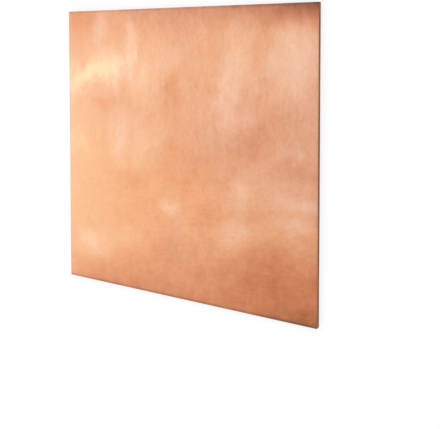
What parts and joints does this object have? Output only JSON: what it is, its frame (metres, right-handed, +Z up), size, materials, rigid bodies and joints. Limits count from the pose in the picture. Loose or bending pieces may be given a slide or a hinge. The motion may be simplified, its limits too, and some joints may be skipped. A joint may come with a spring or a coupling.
{
  "type": "copper plate",
  "caption": "Flat square plate of rolled copper with eased edges and a soft, cloudy peach sheen, lying on its face; raw stock to cut, form, solder or machine.",
  "frame": {"origin": "centre of the plate's lower face", "axes": "+Z up through the thickness, X and Y along the two sides"},
  "size_m": [0.3, 0.3, 0.005],
  "materials": {
    "copper": "satin"
  },
  "bodies": {
    "root": {"plate": "copper"}
  },
  "joints": []
}
